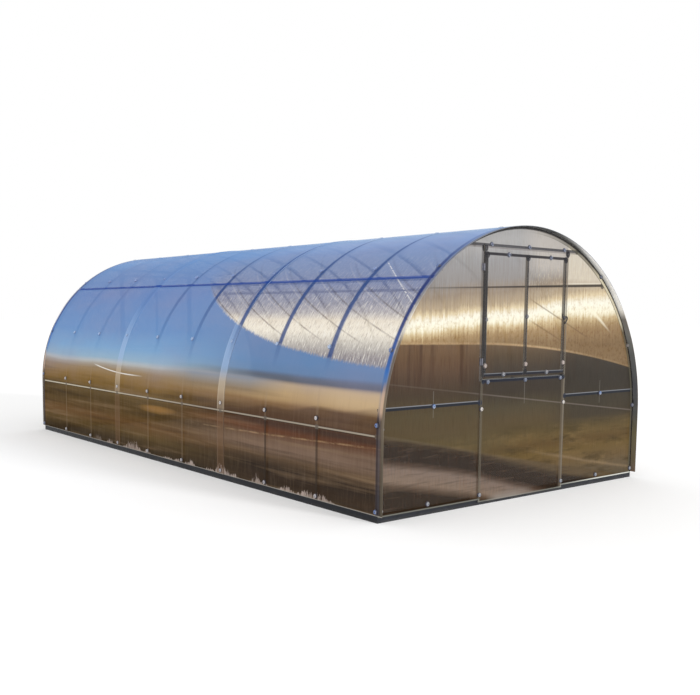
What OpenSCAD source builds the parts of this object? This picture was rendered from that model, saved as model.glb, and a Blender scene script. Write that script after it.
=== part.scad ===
// Arched greenhouse: a steel tube frame under three bent sheets of twin-wall
// polycarbonate, with a vent window in each gable.
// +X is to the right, +Y runs from the front gable to the back one, +Z is up.
// The origin lies on the ground, in the middle of the plan.

/* [Overall size] */
// Width over the outside of the arches
width = 3000; // [2700:10:3400]
// Length over the outside of the end arches
length = 6000; // [5000:10:7200]
// Height at which the straight legs turn into the round top
spring_h = 590; // [400:5:800]

/* [Steel tube] */
// Side of the square tube of the arches, purlins and gables
tube = 20; // [18:1:30]
// Height of the base rail
base_h = 60; // [45:1:80]
// Thickness of the base rail
base_t = 20; // [18:1:30]
// Open joint between two lengths of base rail
base_joint = 2; // [1:0.5:4]

/* [Purlins] */
// Height of the lower purlins' centre line
purlin_low_h = 593; // [560:1:680]
// Distance of the upper purlins' centre line below the arches' top
purlin_up_drop = 419; // [300:1:560]

/* [Gable frame] */
// Distance of a gable post's centre line from the middle
post_x = 490; // [400:5:560]
// Distance of the crossbar's centre line below the arches' top
crossbar_drop = 159; // [120:1:220]
// Height of the side rails' centre line
rail_h = 773; // [700:1:880]
// Height of the window sill bar's centre line
sill_h = 930; // [890:1:1050]

/* [Window] */
// Running gap beside the sash
sash_side = 5; // [3:0.5:10]
// Gap under the sash
sash_under = 25; // [8:1:35]
// Gap over the sash
sash_over = 43; // [30:1:70]
// Distance of each hinge from the end of its stile
hinge_inset = 110; // [60:5:200]
// Length of a hinge
hinge_len = 50; // [30:1:80]
// Width of one hinge leaf
hinge_leaf = 16; // [12:1:24]
// Thickness of a hinge leaf
leaf_t = 1.5; // [1:0.1:3]
// Diameter of the hinge knuckle
knuckle_d = 9; // [7:0.5:12]
// Height of the turn catch's pivot above the sash's foot
catch_up = 435; // [300:5:600]
// Length of the catch's tongue
catch_len = 62; // [50:1:80]
// Diameter of the catch's boss
catch_d = 26; // [20:1:36]
// Length of the catch's grip, hanging from the boss
catch_grip = 66; // [40:1:90]
// Thickness of the catch
catch_t = 7; // [4:0.5:12]

/* [Polycarbonate] */
// Thickness of a twin-wall sheet
sheet_t = 4; // [4:0.5:10]
// Overhang of the cover past the end arches
overhang = 50; // [20:1:80]
// Width of the lap between two cover sheets
lap = 100; // [60:1:140]
// Length over which the middle cover steps down from its lap
step_len = 30; // [15:1:60]
// Height of the cover sheets' lower edge
cover_foot = 50; // [42:1:56]
// Height of the gable side sheets' lower edge
side_foot = 40; // [25:1:42]
// Height of the lower middle gable sheet's lower edge
mid_foot = 22; // [10:1:35]
// Distance of a gable sheet's rim from the outside of the arch
rim_gap = 2; // [1:0.5:6]
// Open seam between two gable sheets in one plane
seam = 3; // [1:0.5:8]
// Distance from the sill bar's top to the window sheet's foot
window_foot = 10; // [4:1:14]

/* [Hidden] */
// Arcs of the frame and its sheets, true circles where they are round
$fn = 360;
// Clearance between pieces that lie on each other
fit = 0.3;
// The frame has nine bays, three to each length of base rail
bays = 9;
arch_r = width / 2;
front = -length / 2;
pitch = (length - tube) / bays;
arch_top = spring_h + arch_r;
crossbar_h = arch_top - crossbar_drop;
// The covers lap over the last arch of the first three bays at each end
lap_arch = bays / 3 + 1;
// The purlins and the gable bars lie flush in the arch's own depth
mid_r = arch_r - tube / 2;
purlin_up_a = asin((arch_r - purlin_up_drop) / mid_r);
// The sash opening inside the posts, the sill and the crossbar
open_x = post_x - tube / 2;
sash_x = open_x - sash_side;
sash_z0 = sill_h + tube / 2 + sash_under;
sash_z1 = crossbar_h - tube / 2 - sash_over;
// Two layers of gable sheet: the first on the frame, the second over it
layer_1 = front - fit;
layer_2 = layer_1 - sheet_t - fit;
// The window and the lower middle sheet reach the posts' far sides
outer_x = post_x + tube / 2;
cover_r = arch_r + fit;
lap_r = cover_r + sheet_t + fit;

steel = "#5b636c";
slate = "#2b3037";
bronze = "#8a7a66";
black = "#1d1e20";

function arch_y(i) = front + tube / 2 + (i - 1) * pitch;

// ---- Helpers ----

// Stands a flat outline upright, its front face towards -Y at y
module upright(y, depth) {
  translate([0, y + depth, 0]) rotate([90, 0, 0]) linear_extrude(depth) children();
}

// Turns the front gable's pieces to the back gable
module to_back() {
  rotate([0, 0, 180]) children();
}

// Outline of the gable, drawn in by inset and cut off at height z0
module gable_outline(inset, z0) {
  r = arch_r - inset;
  translate([0, spring_h]) intersection() {
    circle(r);
    translate([-r, 0]) square([2 * r, r]);
  }
  translate([-r, z0]) square([2 * r, spring_h - z0 + 0.01]);
}

module bar_x(x0, x1, z) {
  translate([x0, z - tube / 2]) square([x1 - x0, tube]);
}

// ---- Base ----

// One side of the base rail in three lengths that meet under the fourth arches
module base_side() {
  y1 = arch_y(lap_arch);
  ends = [[front, y1 - base_joint / 2], [y1 + base_joint / 2, -y1 - base_joint / 2],
          [-y1 + base_joint / 2, -front]];
  for (e = ends)
    translate([-arch_r, e[0], 0]) cube([base_t, e[1] - e[0], base_h]);
}

module base_left() { color(slate) base_side(); }
module base_right() { color(slate) mirror([1, 0, 0]) base_side(); }

module base_end() {
  half = arch_r - base_t - fit;
  translate([-half, front, 0]) cube([2 * half, base_t, base_h]);
}

module base_front() { color(slate) base_end(); }
module base_back() { color(slate) to_back() base_end(); }

// ---- Arches ----

// A bent square tube: a half ring on two straight legs that stand on the base
module arch(i) {
  color(steel) upright(arch_y(i) - tube / 2, tube) difference() {
    gable_outline(0, base_h);
    gable_outline(tube, base_h - 1);
  }
}

// ---- Purlins ----

// Nine lengths of tube between the arches, flush with their outside
module purlin(angle, drop) {
  color(steel) for (i = [1 : bays])
    translate([0, arch_y(i) + tube / 2, spring_h + drop]) rotate([0, -angle, 0])
      translate([-arch_r, 0, -tube / 2]) cube([tube, pitch - tube, tube]);
}

module purlin_left_lower() { purlin(0, purlin_low_h - spring_h); }
module purlin_right_lower() { mirror([1, 0, 0]) purlin_left_lower(); }
module purlin_left_upper() { purlin(-purlin_up_a, 0); }
module purlin_right_upper() { mirror([1, 0, 0]) purlin_left_upper(); }

// ---- Gable frame ----

module post() {
  top = crossbar_h - tube / 2;
  translate([-post_x - tube / 2, front, base_h]) cube([tube, tube, top - base_h]);
}

// The crossbar runs from arch to arch over the posts
module crossbar() {
  upright(front, tube) intersection() {
    bar_x(-arch_r, arch_r, crossbar_h);
    gable_outline(tube + fit, base_h);
  }
}

// The side rails run from an arch leg to the nearer post
module side_rails() {
  upright(front, tube) intersection() {
    union() {
      bar_x(-arch_r, -outer_x, rail_h);
      bar_x(outer_x, arch_r, rail_h);
    }
    gable_outline(tube + fit, base_h);
  }
}

module sill() {
  upright(front, tube) bar_x(-open_x, open_x, sill_h);
}

module front_post_left() { color(steel) post(); }
module front_post_right() { color(steel) mirror([1, 0, 0]) post(); }
module front_crossbar() { color(steel) crossbar(); }
module front_side_rails() { color(steel) side_rails(); }
module front_sill() { color(steel) sill(); }
module back_posts() {
  color(steel) to_back() { post(); mirror([1, 0, 0]) post(); }
}
module back_crossbar() { color(steel) to_back() crossbar(); }
module back_side_rails() { color(steel) to_back() side_rails(); }
module back_sill() { color(steel) to_back() sill(); }

// ---- Window ----

// A welded sash with one mullion, set forward by the side sheets' thickness
module sash() {
  pane_x = sash_x - tube;
  pane_h = sash_z1 - sash_z0 - 2 * tube;
  upright(layer_1 - sheet_t, tube) difference() {
    translate([-sash_x, sash_z0]) square([2 * sash_x, sash_z1 - sash_z0]);
    for (x = [-pane_x, tube / 2])
      translate([x, sash_z0 + tube]) square([pane_x - tube / 2, pane_h]);
  }
}

// One leaf lies on the window sheet and the other on a pad on the side sheet
module hinge(z) {
  x = -outer_x - knuckle_d / 2 - fit;
  face = layer_2 - sheet_t - fit;
  translate([x, face - leaf_t, z - hinge_len / 2])
    cube([hinge_leaf, leaf_t, hinge_len]);
  translate([x - hinge_leaf, face - leaf_t, z - hinge_len / 2])
    cube([hinge_leaf, layer_1 - sheet_t - fit - face + leaf_t, hinge_len]);
  translate([x, face - leaf_t - knuckle_d / 2 + 1, z - hinge_len / 2])
    cylinder(d = knuckle_d, h = hinge_len);
}

module hinges() {
  hinge(sash_z0 + hinge_inset);
  hinge(sash_z1 - hinge_inset);
}

// A turn catch: a round boss on the sash stile, a tongue over the post and a grip
module catch() {
  x = sash_x - tube / 2;
  z = sash_z0 + catch_up;
  upright(layer_2 - sheet_t - fit - catch_t, catch_t) union() {
    translate([x, z]) circle(d = catch_d);
    translate([x, z - catch_d / 4]) square([catch_len, catch_d / 2]);
    translate([x - catch_d / 4, z - catch_grip]) square([catch_d / 2, catch_grip]);
  }
}

module window_pane() {
  upright(layer_2 - sheet_t, sheet_t)
    translate([-outer_x, sill_h + tube / 2 + window_foot])
      square([2 * outer_x, crossbar_h - sill_h - tube / 2 - window_foot - seam]);
}

module window_frame() { color(steel) sash(); }
module window_hinges() { color(black) hinges(); }
module window_catch() { color(black) catch(); }
module window_sheet() { color(bronze) window_pane(); }
module back_window_frame() { color(steel) to_back() sash(); }
module back_window_fittings() {
  color(black) to_back() { hinges(); catch(); }
}
module back_window_sheet() { color(bronze) to_back() window_pane(); }

// ---- Gable sheets ----

// A side sheet: from the cover to the post's middle, up to the crossbar's
module side_sheet() {
  upright(layer_1 - sheet_t, sheet_t) intersection() {
    gable_outline(rim_gap, side_foot);
    translate([-arch_r, side_foot])
      square([arch_r - post_x, crossbar_h - seam / 2 - side_foot]);
  }
}

// The lower middle sheet laps over both side sheets
module lower_sheet() {
  upright(layer_2 - sheet_t, sheet_t)
    translate([-outer_x, mid_foot]) square([2 * outer_x, sill_h + tube / 2 - mid_foot]);
}

// The round segment over the crossbar
module top_sheet() {
  upright(layer_1 - sheet_t, sheet_t) intersection() {
    gable_outline(rim_gap, side_foot);
    translate([-arch_r, crossbar_h + seam / 2]) square([width, arch_top - crossbar_h]);
  }
}

module front_sheet_left() { color(bronze) side_sheet(); }
module front_sheet_right() { color(bronze) mirror([1, 0, 0]) side_sheet(); }
module front_sheet_lower() { color(bronze) lower_sheet(); }
module front_sheet_top() { color(bronze) top_sheet(); }
module back_sheet_sides() {
  color(bronze) to_back() { side_sheet(); mirror([1, 0, 0]) side_sheet(); }
}
module back_sheet_lower() { color(bronze) to_back() lower_sheet(); }
module back_sheet_top() { color(bronze) to_back() top_sheet(); }

// ---- Cover ----

// Bends a section, given as radius and length, over the arches and down both legs
module bent(section) {
  color(bronze) {
    translate([0, 0, spring_h]) rotate([90, 0, 0])
      rotate_extrude(angle = 180) polygon([for (p = section) [p[0], -p[1]]]);
    for (s = [0, 1])
      mirror([s, 0, 0]) translate([0, 0, cover_foot])
        linear_extrude(spring_h - cover_foot) polygon(section);
  }
}

// The end covers lie on the arches from the overhang to the lap
module end_cover() {
  y0 = front - overhang;
  y1 = arch_y(lap_arch) + lap / 2;
  bent([[cover_r, y0], [cover_r + sheet_t, y0], [cover_r + sheet_t, y1], [cover_r, y1]]);
}

module cover_front() { end_cover(); }
module cover_back() { mirror([0, 1, 0]) end_cover(); }

// The middle cover lies on the arches and steps up over both end covers
module cover_middle() {
  y0 = arch_y(lap_arch) - lap / 2;
  y1 = arch_y(lap_arch) + lap / 2 + fit;
  y2 = y1 + step_len;
  inner = [[lap_r, y0], [lap_r, y1], [cover_r, y2], [cover_r, -y2], [lap_r, -y1], [lap_r, -y0]];
  outer = [for (i = [5 : -1 : 0]) [inner[i][0] + sheet_t, inner[i][1]]];
  bent(concat(inner, outer));
}

base_left();
base_right();
base_front();
base_back();
arch(1);  // arch_1
arch(2);  // arch_2
arch(3);  // arch_3
arch(4);  // arch_4
arch(5);  // arch_5
arch(6);  // arch_6
arch(7);  // arch_7
arch(8);  // arch_8
arch(9);  // arch_9
arch(10);  // arch_10
purlin_left_lower();
purlin_left_upper();
purlin_right_lower();
purlin_right_upper();
front_post_left();
front_post_right();
front_crossbar();
front_side_rails();
front_sill();
window_frame();
window_hinges();
window_catch();
window_sheet();
front_sheet_left();
front_sheet_right();
front_sheet_lower();
front_sheet_top();
back_posts();
back_crossbar();
back_side_rails();
back_sill();
back_window_frame();
back_window_fittings();
back_window_sheet();
back_sheet_sides();
back_sheet_lower();
back_sheet_top();
cover_front();
cover_middle();
cover_back();
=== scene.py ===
import math

import bmesh
import bpy
from mathutils import Matrix, Vector


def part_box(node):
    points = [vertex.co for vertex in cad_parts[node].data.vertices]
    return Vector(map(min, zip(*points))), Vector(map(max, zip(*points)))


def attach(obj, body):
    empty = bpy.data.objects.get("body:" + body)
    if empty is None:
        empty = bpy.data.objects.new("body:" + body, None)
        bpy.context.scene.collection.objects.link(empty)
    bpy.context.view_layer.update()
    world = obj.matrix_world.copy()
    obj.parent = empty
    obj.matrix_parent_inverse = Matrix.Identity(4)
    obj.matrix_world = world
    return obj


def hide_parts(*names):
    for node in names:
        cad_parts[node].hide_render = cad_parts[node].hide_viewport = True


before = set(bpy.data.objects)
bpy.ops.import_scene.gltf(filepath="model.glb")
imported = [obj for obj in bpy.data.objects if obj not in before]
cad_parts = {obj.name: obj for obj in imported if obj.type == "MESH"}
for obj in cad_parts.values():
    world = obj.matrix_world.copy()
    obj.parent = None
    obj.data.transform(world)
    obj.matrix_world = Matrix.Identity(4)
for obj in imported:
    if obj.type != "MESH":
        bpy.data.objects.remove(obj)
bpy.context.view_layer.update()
scene = bpy.context.scene
scene.view_settings.view_transform = "Standard"

# ---- Camera ----
# A standing person's view of the front gable and the left side, from a little
# in front of the corner. The lens shift is only what the framing needs.
camera = bpy.data.objects.new("camera", bpy.data.cameras.new("camera"))
scene.collection.objects.link(camera)
scene.camera = camera
camera.data.sensor_width = 36.0
camera.data.lens = 45.76
camera.data.shift_x = 0.0286
camera.data.shift_y = 0.075
camera.data.clip_end = 400
camera_place = (-5.4689, -7.4273, 1.4220)
camera_yaw, camera_pitch, camera_roll = 0.67535, -0.09732, 0.00938
ahead = Vector((math.sin(camera_yaw) * math.cos(camera_pitch),
                math.cos(camera_yaw) * math.cos(camera_pitch), math.sin(camera_pitch)))
camera.matrix_world = (Matrix.Translation(camera_place)
                       @ ahead.to_track_quat("-Z", "Y").to_matrix().to_4x4()
                       @ Matrix.Rotation(camera_roll, 4, "Z"))

# ---- Studio ----
# A pale floor, a white surround that metal and glass also mirror, and one broad
# soft lamp low in front on the right, so that the shadow falls to the back and left.
world = bpy.data.worlds.new("surround")
scene.world = world
world.use_nodes = True
sky = world.node_tree
sky.nodes.clear()


def seen_directly(tree):
    """1 for camera, mirror and glass rays, and 0 for the rays that light things."""
    path = tree.nodes.new("ShaderNodeLightPath")
    either = path.outputs["Is Camera Ray"]
    for ray in ("Is Glossy Ray", "Is Transmission Ray"):
        node = tree.nodes.new("ShaderNodeMath")
        node.operation = "MAXIMUM"
        tree.links.new(either, node.inputs[0])
        tree.links.new(path.outputs[ray], node.inputs[1])
        either = node.outputs[0]
    return either


sky_mix = sky.nodes.new("ShaderNodeMixShader")
sky.links.new(seen_directly(sky), sky_mix.inputs[0])
for slot_number, strength in ((1, 0.97), (2, 1.0)):
    background = sky.nodes.new("ShaderNodeBackground")
    background.inputs["Strength"].default_value = strength
    background.inputs["Color"].default_value = (1.0, 1.0, 1.0, 1.0)
    sky.links.new(background.outputs[0], sky_mix.inputs[slot_number])
sky.links.new(sky_mix.outputs[0], sky.nodes.new("ShaderNodeOutputWorld").inputs["Surface"])

lamp = bpy.data.objects.new("soft_lamp", bpy.data.lights.new("soft_lamp", "SUN"))
scene.collection.objects.link(lamp)
lamp.data.energy = 2.1
lamp.data.angle = math.radians(11)
towards_lamp = Vector((0.25, -0.97, 0.265))
lamp.rotation_euler = towards_lamp.to_track_quat("Z", "Y").to_euler()

floor_mesh = bpy.data.meshes.new("floor")
floor_shape = bmesh.new()
bmesh.ops.create_circle(floor_shape, cap_ends=True, segments=64, radius=120.0)
floor_shape.to_mesh(floor_mesh)
floor_shape.free()
floor = bpy.data.objects.new("floor", floor_mesh)
scene.collection.objects.link(floor)
floor_paint = bpy.data.materials.new("floor_paint")
floor_paint.use_nodes = True
tree = floor_paint.node_tree
floor_shader = tree.nodes["Principled BSDF"]
floor_shader.inputs["Base Color"].default_value = (0.98, 0.98, 0.98, 1.0)
floor_shader.inputs["Roughness"].default_value = 1.0
floor_shader.inputs["Specular IOR Level"].default_value = 0.0
floor_white = tree.nodes.new("ShaderNodeEmission")
floor_share = tree.nodes.new("ShaderNodeMath")
floor_share.operation = "MULTIPLY"
floor_share.inputs[1].default_value = 0.2
tree.links.new(seen_directly(tree), floor_share.inputs[0])
floor_mix = tree.nodes.new("ShaderNodeMixShader")
tree.links.new(floor_share.outputs[0], floor_mix.inputs[0])
tree.links.new(floor_shader.outputs[0], floor_mix.inputs[1])
tree.links.new(floor_white.outputs[0], floor_mix.inputs[2])
tree.links.new(floor_mix.outputs[0], tree.nodes["Material Output"].inputs["Surface"])
floor_mesh.materials.append(floor_paint)


# ---- Base rails ----
# Dark slate painted rectangular tube, bolted up into a frame that lies on the ground
# by galvanised angle plates inside its corners. Splashed soil dulls its lower edge.
def srgb(red, green, blue):
    """A colour written as it shows on a screen, 0 to 255, in the linear form nodes take."""
    def linear(value):
        value /= 255.0
        return value / 12.92 if value <= 0.04045 else ((value + 0.055) / 1.055) ** 2.4
    return (linear(red), linear(green), linear(blue), 1.0)


def finish_of(name, roughness, specular):
    """A new material, its node tree and its Principled shader, ready to build on."""
    made = bpy.data.materials.new(name)
    made.use_nodes = True
    shader = made.node_tree.nodes["Principled BSDF"]
    shader.inputs["Roughness"].default_value = roughness
    shader.inputs["Specular IOR Level"].default_value = specular
    return made, made.node_tree, shader


class Reading:
    """A number that varies over a surface. Working with readings adds Math nodes to tree,
    which is the node tree of the finish being made."""

    def __init__(self, socket):
        self.socket = socket

    def __add__(self, other):
        return calc("ADD", self, other)

    def __radd__(self, other):
        return calc("ADD", other, self)

    def __sub__(self, other):
        return calc("SUBTRACT", self, other)

    def __rsub__(self, other):
        return calc("SUBTRACT", other, self)

    def __mul__(self, other):
        return calc("MULTIPLY", self, other)

    def __rmul__(self, other):
        return calc("MULTIPLY", other, self)

    def __truediv__(self, other):
        return calc("DIVIDE", self, other)

    def __pow__(self, other):
        return calc("POWER", self, other)

    def __lt__(self, other):
        return calc("LESS_THAN", self, other)

    def __gt__(self, other):
        return calc("GREATER_THAN", self, other)

    def __abs__(self):
        return calc("ABSOLUTE", self)


def feed(socket, value):
    """Links an output or a reading to a socket, or writes a plain value on it."""
    value = getattr(value, "socket", value)
    if isinstance(value, bpy.types.NodeSocket):
        tree.links.new(value, socket)
    else:
        socket.default_value = value


def calc(operation, *values):
    """One Math node."""
    node = tree.nodes.new("ShaderNodeMath")
    node.operation = operation
    for socket, value in zip(node.inputs, values):
        feed(socket, value)
    return Reading(node.outputs[0])


def place_on():
    """Object coordinates, whole and as separate X, Y and Z."""
    coordinates = tree.nodes.new("ShaderNodeTexCoord").outputs["Object"]
    split = tree.nodes.new("ShaderNodeSeparateXYZ")
    feed(split.inputs[0], coordinates)
    return coordinates, *[Reading(split.outputs[axis]) for axis in "XYZ"]


def grain(coordinates, stretch, detail=3.0, roughness=0.55):
    """Noise with its cycles per metre given along X, Y and Z."""
    mapping = tree.nodes.new("ShaderNodeMapping")
    mapping.inputs["Scale"].default_value = stretch
    feed(mapping.inputs["Vector"], coordinates)
    noise = tree.nodes.new("ShaderNodeTexNoise")
    noise.inputs["Scale"].default_value = 1.0
    noise.inputs["Detail"].default_value = detail
    noise.inputs["Roughness"].default_value = roughness
    feed(noise.inputs["Vector"], mapping.outputs[0])
    return Reading(noise.outputs["Fac"])


def spread(value, low, high, out_low=0.0, out_high=1.0):
    """Maps a range of one value onto another, held at both ends."""
    node = tree.nodes.new("ShaderNodeMapRange")
    for socket, number in zip(("From Min", "From Max", "To Min", "To Max"),
                              (low, high, out_low, out_high)):
        node.inputs[socket].default_value = number
    feed(node.inputs["Value"], value)
    return Reading(node.outputs["Result"])


def wander(coordinates, stretch, reach, **kind):
    """An uneven offset of up to reach to either side, which frays a straight border."""
    return spread(grain(coordinates, stretch, **kind), 0.3, 0.7, -reach, reach)


def blend(share, first, second, kind="MIX"):
    """Mixes two colours by a share. One given as three numbers is as it shows on a screen."""
    node = tree.nodes.new("ShaderNodeMix")
    node.data_type = "RGBA"
    node.blend_type = kind
    sockets = [socket for socket in node.inputs if socket.enabled]
    feed(sockets[0], share)
    for socket, colour in zip(sockets[1:], (first, second)):
        on_screen = isinstance(colour, tuple) and len(colour) == 3
        feed(socket, srgb(*colour) if on_screen else colour)
    return next(socket for socket in node.outputs if socket.enabled)


def bump(shader, height, distance, strength=1.0):
    """Raises the surface by a height, without changing its shape."""
    node = tree.nodes.new("ShaderNodeBump")
    node.inputs["Strength"].default_value = strength
    node.inputs["Distance"].default_value = distance
    feed(node.inputs["Height"], height)
    feed(shader.inputs["Normal"], node.outputs["Normal"])


def dress(material, *names):
    """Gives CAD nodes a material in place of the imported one."""
    for name in names:
        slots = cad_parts[name].data.materials
        slots.clear()
        slots.append(material)


slate_paint, tree, shader = finish_of("slate_paint", 0.42, 0.25)
coordinates, _, _, height = place_on()
dust = spread(height + wander(coordinates, (9, 9, 9), 0.012), 0.0, 0.022, 0.45, 0.0)
mottle = grain(coordinates, (30, 30, 30), detail=5.0)
painted = blend(spread(mottle, 0.35, 0.65), (16, 18, 24), (29, 32, 40))
feed(shader.inputs["Base Color"], blend(dust, painted, (66, 64, 62)))
feed(shader.inputs["Roughness"], spread(mottle, 0.3, 0.7, 0.34, 0.6))
bump(shader, grain(coordinates, (160, 160, 160)), 0.0006, 0.5)
dress(slate_paint, "base_left", "base_right", "base_front", "base_back")


def lathe(profile, steps):
    """Turns a line of (radius, rise) about the Z axis into a closed solid."""
    shape = bmesh.new()
    corners = [shape.verts.new((radius, 0.0, rise)) for radius, rise in profile]
    line = [shape.edges.new(ends) for ends in zip(corners, corners[1:])]
    bmesh.ops.spin(shape, geom=corners + line, cent=(0, 0, 0), axis=(0, 0, 1),
                   angle=math.tau, steps=steps, use_merge=True)
    bmesh.ops.remove_doubles(shape, verts=shape.verts[:], dist=1e-6)
    bmesh.ops.recalc_face_normals(shape, faces=shape.faces[:])
    return shape


def plate(shape, low, high, soft=0.0004):
    """Adds a flat bar between two corners, its edges softened."""
    low, high = Vector(low), Vector(high)
    corners = bmesh.ops.create_cube(shape, size=1.0)["verts"]
    bmesh.ops.scale(shape, vec=high - low, verts=corners)
    bmesh.ops.translate(shape, vec=(low + high) / 2, verts=corners)
    edges = list({edge for corner in corners for edge in corner.link_edges})
    bmesh.ops.bevel(shape, geom=edges, offset=soft, offset_type="OFFSET", segments=1,
                    profile=0.5, affect="EDGES", material=-1)


def add(shape, part, matrix):
    """Adds a copy of a part, moved by a matrix."""
    copy = part.copy()
    bmesh.ops.transform(copy, matrix=matrix, verts=copy.verts[:])
    carrier = bpy.data.meshes.new("carrier")
    copy.to_mesh(carrier)
    shape.from_mesh(carrier)
    copy.free()
    bpy.data.meshes.remove(carrier)


def standing(place, out):
    """The matrix that stands a lathed part on a face that looks along out."""
    return Matrix.Translation(place) @ Vector(out).to_track_quat("Z", "Y").to_matrix().to_4x4()


def finished(name, shape, slot, *materials):
    """Makes a shape a piece of the greenhouse, with its materials; slot is not used."""
    mesh = bpy.data.meshes.new(name)
    shape.to_mesh(mesh)
    shape.free()
    for material in materials:
        mesh.materials.append(material)
    piece = bpy.data.objects.new(name, mesh)
    scene.collection.objects.link(piece)
    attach(piece, "root")
    return piece


# zinc with a faint spangle, on these plates and on all the tubes above them
zinc, tree, shader = finish_of("galvanised_tube", 0.4, 0.5)
coordinates = place_on()[0]
spangle = tree.nodes.new("ShaderNodeTexVoronoi")
spangle.inputs["Scale"].default_value = 95.0
feed(spangle.inputs["Vector"], coordinates)
speck = tree.nodes.new("ShaderNodeSeparateColor")
feed(speck.inputs[0], spangle.outputs["Color"])
patches = grain(coordinates, (5, 5, 5), detail=4.0)
zinc_colour = blend(spread(patches, 0.35, 0.65), (62, 64, 68), (88, 90, 92))
feed(shader.inputs["Base Color"],
     blend(spread(speck.outputs[0], 0.0, 1.0, 0.0, 0.25), zinc_colour, (122, 125, 128)))
shader.inputs["Metallic"].default_value = 0.35
feed(shader.inputs["Roughness"], spread(patches, 0.3, 0.7, 0.36, 0.58))
bump(shader, grain(coordinates, (220, 220, 220)), 0.0004, 0.4)
bolt = lathe([(0.0, 0.0), (0.0085, 0.0), (0.0085, 0.0014), (0.0062, 0.0018), (0.0062, 0.0052),
              (0.0050, 0.0062), (0.0, 0.0062)], 6)
rail_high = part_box("base_left")[1]
end_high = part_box("base_front")[1]
plate_gap, plate_thick, plate_reach = 0.0003, 0.002, 0.062
bolt_rise = 0.030
plates = bmesh.new()
for side in (-1, 1):
    inside = plate_gap - rail_high.x
    for end in (-1, 1):
        butt = end * (-end_high.y - plate_gap)
        for wide, deep in ((plate_thick, plate_reach), (plate_reach, plate_thick)):
            near, far = sorted((side * inside, side * (inside - wide)))
            first, last = sorted((butt, butt - end * deep))
            plate(plates, (near, first, 0.008), (far, last, rail_high.z - 0.006))
        for off in (0.022, 0.046):
            add(plates, bolt, standing((side * (inside - plate_thick), butt - end * off,
                                        bolt_rise), (-side, 0, 0)))
            add(plates, bolt, standing((side * (inside - off), butt - end * plate_thick,
                                        bolt_rise), (0, -end, 0)))
finished("base_corner_plates", plates, "steel_tube", zinc)

# ---- Arches, purlins and gable bars ----
# Galvanised square tube, 20 mm across: ten bent arches on the base, purlins bolted
# between them, and the posts and bars of both gables, all joined by flat plates.
tubes = [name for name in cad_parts
         if name.startswith(("arch_", "purlin_")) or name.endswith((
             "post_left", "post_right", "_posts", "_crossbar", "_side_rails", "_sill",
             "window_frame"))]
dress(zinc, *tubes)


def centre_of(name):
    """The middle of a CAD piece."""
    low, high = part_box(name)
    return (low + high) / 2


arch_low, arch_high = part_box("arch_1")
arch_radius = arch_high.x
springing = arch_high.z - arch_radius
tube_width = arch_high.y - arch_low.y
first_arch = centre_of("arch_1").y
arch_pitch = centre_of("arch_2").y - first_arch
arches = [first_arch + number * arch_pitch for number in range(10)]
low_purlin = centre_of("purlin_left_lower").z
upper_middle = centre_of("purlin_right_upper")
upper_purlin = math.atan2(upper_middle.z - springing, upper_middle.x)

post_at = centre_of("front_post_right").x
frame_low, frame_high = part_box("window_frame")
stile_at = frame_high.x - tube_width / 2
sash_top = frame_high.z - tube_width / 2
sash_foot = frame_low.z + tube_width / 2
sill_at = centre_of("front_sill").z
rail_at = centre_of("front_side_rails").z
bar_at = centre_of("front_crossbar").z
end_face = arch_low.y + tube_width

# flat straps bolt the inner arches' feet to the base rails
straps = bmesh.new()
for y in arches[1:-1]:
    for side in (-1, 1):
        strap_at = arch_radius - tube_width - 0.0002
        near, far = sorted((side * strap_at, side * (strap_at - plate_thick)))
        plate(straps, (near, y - 0.012, 0.010), (far, y + 0.012, 0.132))
        for rise in (bolt_rise, 0.094):
            add(straps, bolt, standing((side * (strap_at - plate_thick), y, rise),
                                       (-side, 0, 0)))
finished("arch_foot_straps", straps, "steel_tube", zinc)

# flat plates join the purlins' lengths across the inside of each arch
arm, stub = 0.046, tube_width / 2 - 0.001
crossing = {}
for back, forth in ((0.0, arm), (-arm, arm), (-arm, 0.0)):
    shape = bmesh.new()
    low_end, high_end = min(back, -stub), max(forth, stub)
    plate(shape, (-0.0017, low_end, -0.009), (-0.0002, high_end, 0.009))
    for y in sorted({low_end + 0.010, 0.0, high_end - 0.010}):
        if y == 0.0 or abs(y) > stub:
            add(shape, bolt, standing((-0.0017, y, 0.0), (-1, 0, 0)))
    crossing[back, forth] = shape
crossings = bmesh.new()
inside = arch_radius - tube_width
for y in arches:
    shape = crossing[0.0 if y == arches[0] else -arm, 0.0 if y == arches[-1] else arm]
    for angle in (upper_purlin, math.pi - upper_purlin):
        place = (inside * math.cos(angle), y, springing + inside * math.sin(angle))
        add(crossings, shape, Matrix.Translation(place) @ Matrix.Rotation(-angle, 4, "Y"))
    for side, angle in ((1, 0.0), (-1, math.pi)):
        add(crossings, shape, Matrix.Translation((side * inside, y, low_purlin))
            @ Matrix.Rotation(-angle, 4, "Y"))
for shape in crossing.values():
    shape.free()
finished("purlin_plates", crossings, "steel_tube", zinc)

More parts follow.
